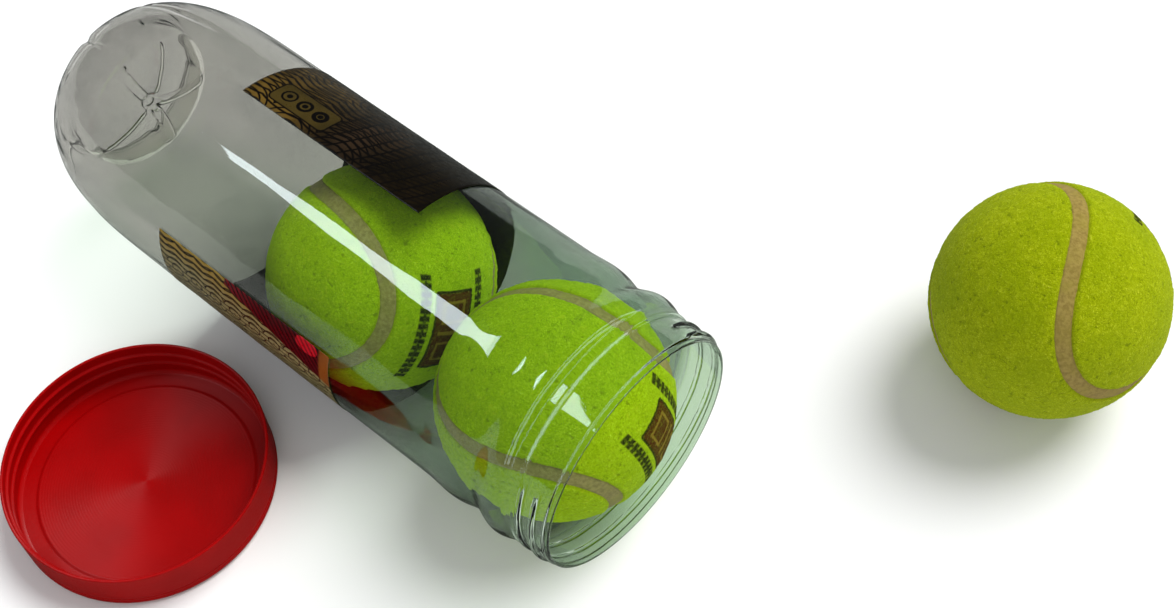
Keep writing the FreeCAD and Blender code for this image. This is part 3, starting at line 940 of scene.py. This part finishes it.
def seam_cement(in_can):
    """Rubber cement with felt dust in it. On the balls in the can it is greener."""
    s = Shader("seam_cement_fresh" if in_can else "seam_cement_aired")
    p = s.place()
    grain = s.noise(p, 0.9, 4.0, 0.6)
    dust = s.noise(p, 0.16, 2.0)
    dark, pale, dusty = ((118, 114, 60), (146, 142, 82), (126, 132, 50))
    if not in_can:
        dark, pale, dusty = ((134, 114, 54), (160, 140, 74), (144, 134, 46))
    colour = s.mix(s.range(grain, 0.3, 0.7), srgb(*dark), srgb(*pale))
    colour = s.mix(s.range(dust, 0.4, 0.75, 0.0, 0.5), colour, srgb(*dusty))
    return s.principled(
        Base_Color=colour,
        Roughness=s.range(grain, 0.3, 0.7, 0.62, 0.8),
        Specular_IOR_Level=0.25,
        Normal=s.bump(grain, 0.25, 0.6),
    )


def rubber():
    """The dark rubber of the cores, which the felt hides."""
    s = Shader("rubber_core")
    p = s.place()
    grain = s.noise(p, 0.7, 4.0, 0.6)
    colour = s.mix(s.range(grain, 0.3, 0.7), srgb(38, 36, 34), srgb(58, 55, 50))
    return s.principled(
        Base_Color=colour,
        Roughness=s.range(grain, 0.3, 0.7, 0.6, 0.8),
        Normal=s.bump(grain, 0.2, 0.5),
    )


def red_plastic(centre):
    """Moulded red plastic with the fine turning marks of its mould."""
    s = Shader("red_plastic")
    p = s.place()
    q = s.vec("SUBTRACT", p, tuple(centre))
    x, y, z = s.split(q)
    r = s.vec("LENGTH", s.join(x, y))
    cloud = s.noise(p, 0.05, 3.0)
    colour = s.mix(s.range(cloud, 0.35, 0.7), srgb(160, 0, 2), srgb(148, 0, 1))
    grain = s.noise(p, 1.6, 4.0, 0.6)
    marks = s.noise(s.join(s.math("MULTIPLY", r, 2.6), s.math("MULTIPLY", z, 1.2)), 1.0, 3.0, 0.7)
    height = s.math("ADD", s.math("MULTIPLY", marks, 0.8), s.math("MULTIPLY", grain, 0.12))
    normal = s.bump(height, 0.04, 0.5)
    # the marks are rings, so the stretched highlight takes a tangent that points away from the axis
    outwards = s.vec("NORMALIZE", s.join(x, y, 0.0))
    return s.principled(
        Base_Color=colour,
        Roughness=s.range(grain, 0.3, 0.7, 0.30, 0.40),
        Anisotropic=0.8,
        Tangent=s.turned(outwards, "VECTOR", "OBJECT", "WORLD"),
        Normal=normal,
        Specular_IOR_Level=0.14,
    )


def give(obj, material):
    """Put one material on every material slot of an object."""
    if not obj.material_slots:
        obj.data.materials.append(material)
    for holder in obj.material_slots:
        holder.link = "OBJECT"
        holder.material = material


# ================================================================ pieces
def stand_for(obj, material, body, node):
    """Dress a piece, let it ride its body and put it in place of a CAD node."""
    give(obj, material)
    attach(obj, body)
    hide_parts(node)


def node_centre(*names):
    """The middle of the box round some CAD nodes, in millimetres."""
    boxes = [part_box(n) for n in names]
    low = np.min([tuple(b[0]) for b in boxes], axis=0)
    high = np.max([tuple(b[1]) for b in boxes], axis=0)
    return (low + high) / 2 / MM


def build_can():
    stand_for(can_shell(), clear_plastic(), "can", "can_body")
    stand_for(label_film(), label_print(), "can", "label")


def build_balls():
    cements = (seam_cement(in_can=False), seam_cement(in_can=True))
    core = rubber()
    for seed, (name, (angles, mark, along)) in enumerate(BALLS.items(), start=1):
        centre = node_centre(f"{name}_core_half_a", f"{name}_core_half_b")
        turn = ball_turn(angles)
        # the balls in the can get the greener felt and cement
        in_can = name != "ball_3"
        cloth = felt(f"{name}_felt", centre, mark, along, in_can)
        for piece, half in zip(felt_halves(name, centre, turn, seed), "ab"):
            stand_for(piece, cloth, name, f"{name}_felt_panel_{half}")
        strip = seam_strip(name, centre, turn, seed)
        stand_for(strip, cements[in_can], name, f"{name}_seam_cement")
        for half in ("a", "b"):
            give(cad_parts[f"{name}_core_half_{half}"], core)


def build_cap():
    low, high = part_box("screw_cap")
    centre = ((low.x + high.x) / 2 / MM, (low.y + high.y) / 2 / MM, low.z / MM)
    stand_for(cap_moulding(centre), red_plastic(centre), "cap", "screw_cap")


# ================================================================ stage
FLOOR_HALF = 20000
WINDOW_LIGHT = 9.0
WINDOW_TOP = 1000.0
WINDOW_MID_Y = -340.0
WINDOW_NEAR = (-403.0, 182.0)  # x, and half the width there, as for the two below
WINDOW_BAR = (-497.0, 162.0)
WINDOW_FAR = (-872.0, 56.0)
BAR_HALF = 4
ARCH_LIGHT = 3.2
ARCH_R = 1100.0
ARCH_STEPS = 16
ARCHES = ((165.0, 225.0, 0.9), (300.0, 400.0, 0.9), (750.0, 2200.0, 1.5))  # from x, to x, share
ROOM_LIGHT = 0.46
KEY_LIGHT = 3.0
FILL_LIGHT = 0.3
ROOM_IN_REFLECTIONS = 0.07
CAP_SHEEN_POWER = 9.0
CAP_SHEEN_AT = (-560, 700, 800)
CAP_SHEEN_AIM = (-120, -82, -36)
SUNS = (("key", (250, 880, 1300), 38.0, KEY_LIGHT), ("fill", (900, -720, 1100), 32.0, FILL_LIGHT))
CAMERA_LENS = 55.07
CAMERA_AT = (156.955, -162.183, 418.424)
CAMERA_RIGHT = (0.75475, 0.65303, -0.06255)
CAMERA_DOWN = (0.52197, -0.65554, -0.54572)
CAMERA_AHEAD = (-0.39738, 0.37923, -0.83563)


def emitter(name, colour, strength):
    """A material that only glows."""
    s = Shader(name)
    inputs = {"Color": colour, "Strength": strength}
    return s.finish(s.node("ShaderNodeEmission", inputs).outputs[0])


def card(name, corners, strength, colour, faces=None):
    """A bright panel that is only seen in reflections."""
    obj = mesh_object(name, corners, faces or [tuple(range(len(corners)))], smooth=False)
    obj.data.materials.append(emitter(name, colour, strength))
    obj.visible_camera = False
    obj.visible_diffuse = False
    obj.visible_transmission = False
    obj.visible_shadow = False
    return obj


def light_only(source, name):
    """Let one light reach one object and nothing else."""
    group = bpy.data.collections.new(f"{source.name}_on")
    group.objects.link(bpy.data.objects[name])
    source.light_linking.receiver_collection = group


def build_floor():
    """A plain pale floor, darker where the can mirrors it."""
    low, high, z = -FLOOR_HALF, FLOOR_HALF, CAD_BOX[0].z / MM
    corners = [(low, low, z), (high, low, z), (high, high, z), (low, high, z)]
    floor = mesh_object("floor", corners, [(0, 1, 2, 3)], smooth=False)
    s = Shader("floor")
    haze = s.noise(s.place(), 0.004, 2.0)
    colour = s.mix(haze, (0.9, 0.9, 0.9, 1), (0.93, 0.93, 0.93, 1))
    ray = s.node("ShaderNodeLightPath").outputs
    # a ray that went through the plastic counts as glossy too, so those are taken out
    through = s.math("ADD", ray["Is Transmission Ray"], 0.5)
    mirrored = s.math("GREATER_THAN", ray["Is Glossy Ray"], through)
    colour = s.mix(mirrored, colour, (0.16, 0.17, 0.16, 1))
    floor.data.materials.append(s.finish(s.node("ShaderNodeBsdfDiffuse", {"Color": colour}).outputs[0]))


def build_cards():
    """The bright shapes that the can mirrors."""
    # the long window light: a tapering panel high on the left, crossed by one thin dark bar
    cool = srgb(236, 250, 255)
    bar_x, bar_half = WINDOW_BAR
    near_edge = (bar_x + BAR_HALF, bar_half)
    far_edge = (bar_x - BAR_HALF, bar_half)
    panes = (
        ("window_near", WINDOW_NEAR, near_edge, WINDOW_LIGHT),
        ("window_far", far_edge, WINDOW_FAR, WINDOW_LIGHT * 1.3),
    )
    for name, (near_x, near_half), (far_x, far_half), strength in panes:
        corners = [
            (near_x, WINDOW_MID_Y - near_half, WINDOW_TOP),
            (near_x, WINDOW_MID_Y + near_half, WINDOW_TOP),
            (far_x, WINDOW_MID_Y + far_half, WINDOW_TOP),
            (far_x, WINDOW_MID_Y - far_half, WINDOW_TOP),
        ]
        card(name, corners, strength, cool)
    # pale arches over the can, which draw the thin lines along the rings of the neck
    for k, (low_x, high_x, share) in enumerate(ARCHES):
        verts = []
        for t in np.radians(np.linspace(-88, 88, ARCH_STEPS + 1)):
            verts += [(x, ARCH_R * math.sin(t), ARCH_R * math.cos(t)) for x in (low_x, high_x)]
        faces = [(2 * i, 2 * i + 1, 2 * i + 3, 2 * i + 2) for i in range(ARCH_STEPS)]
        light_only(card(f"arch_{k}", verts, ARCH_LIGHT * share, cool, faces), "can_shell")


def build_world(scene):
    """A room that lights the object, is dim in reflections and is near white to the camera."""
    world = bpy.data.worlds.new("studio")
    scene.world = world
    world.use_nodes = True
    tree = world.node_tree
    tree.nodes.clear()
    out = tree.nodes.new("ShaderNodeOutputWorld")
    path = tree.nodes.new("ShaderNodeLightPath")
    looks = []
    for colour, strength in (
        ((0.98, 0.99, 1.0, 1), ROOM_LIGHT),
        ((0.95, 0.98, 1.0, 1), ROOM_IN_REFLECTIONS),
        ((0.95, 0.95, 0.95, 1), 1.0),
    ):
        look = tree.nodes.new("ShaderNodeBackground")
        look.inputs[0].default_value = colour
        look.inputs[1].default_value = strength
        looks.append(look.outputs[0])
    shader = looks[0]
    for ray, look in zip(("Is Glossy Ray", "Is Camera Ray"), looks[1:]):
        mix = tree.nodes.new("ShaderNodeMixShader")
        tree.links.new(path.outputs[ray], mix.inputs[0])
        tree.links.new(shader, mix.inputs[1])
        tree.links.new(look, mix.inputs[2])
        shader = mix.outputs[0]
    tree.links.new(shader, out.inputs["Surface"])


def add_lamp(scene, lamp, place, aim):
    """Hang a lamp at a place and point it at another."""
    obj = bpy.data.objects.new(lamp.name, lamp)
    obj.location = Vector(place) * MM
    obj.rotation_euler = (Vector(aim) - Vector(place)).to_track_quat("-Z", "Y").to_euler()
    scene.collection.objects.link(obj)
    return obj


def build_lamps(scene):
    for name, place, width, power in SUNS:
        lamp = bpy.data.lights.new(name, "SUN")
        lamp.angle = math.radians(width)
        lamp.energy = power
        obj = add_lamp(scene, lamp, place, (0, 0, 0))
        obj.visible_glossy = False
        obj.visible_transmission = False

    # a soft lamp on the cap alone, for the sheen across its turned rings
    lamp = bpy.data.lights.new("cap_sheen", "AREA")
    lamp.size = 0.35
    lamp.energy = CAP_SHEEN_POWER
    obj = add_lamp(scene, lamp, CAP_SHEEN_AT, CAP_SHEEN_AIM)
    obj.visible_diffuse = False
    light_only(obj, "cap_moulding")


def build_camera(scene):
    cam = bpy.data.cameras.new("camera")
    cam.sensor_width = 36.0
    cam.lens = CAMERA_LENS
    cam.clip_start = 0.01
    holder = bpy.data.objects.new("camera", cam)
    turn = Matrix((CAMERA_RIGHT, -Vector(CAMERA_DOWN), -Vector(CAMERA_AHEAD))).transposed()
    holder.matrix_world = Matrix.Translation(Vector(CAMERA_AT) * MM) @ turn.to_4x4()
    scene.collection.objects.link(holder)
    scene.camera = holder


def build_stage():
    scene = bpy.context.scene
    build_floor()
    build_cards()
    build_world(scene)
    build_lamps(scene)
    build_camera(scene)
    scene.view_settings.view_transform = "Standard"
    scene.cycles.transparent_max_bounces = 16
    scene.cycles.sample_clamp_indirect = 6.0


build_can()
build_balls()
build_cap()
build_stage()
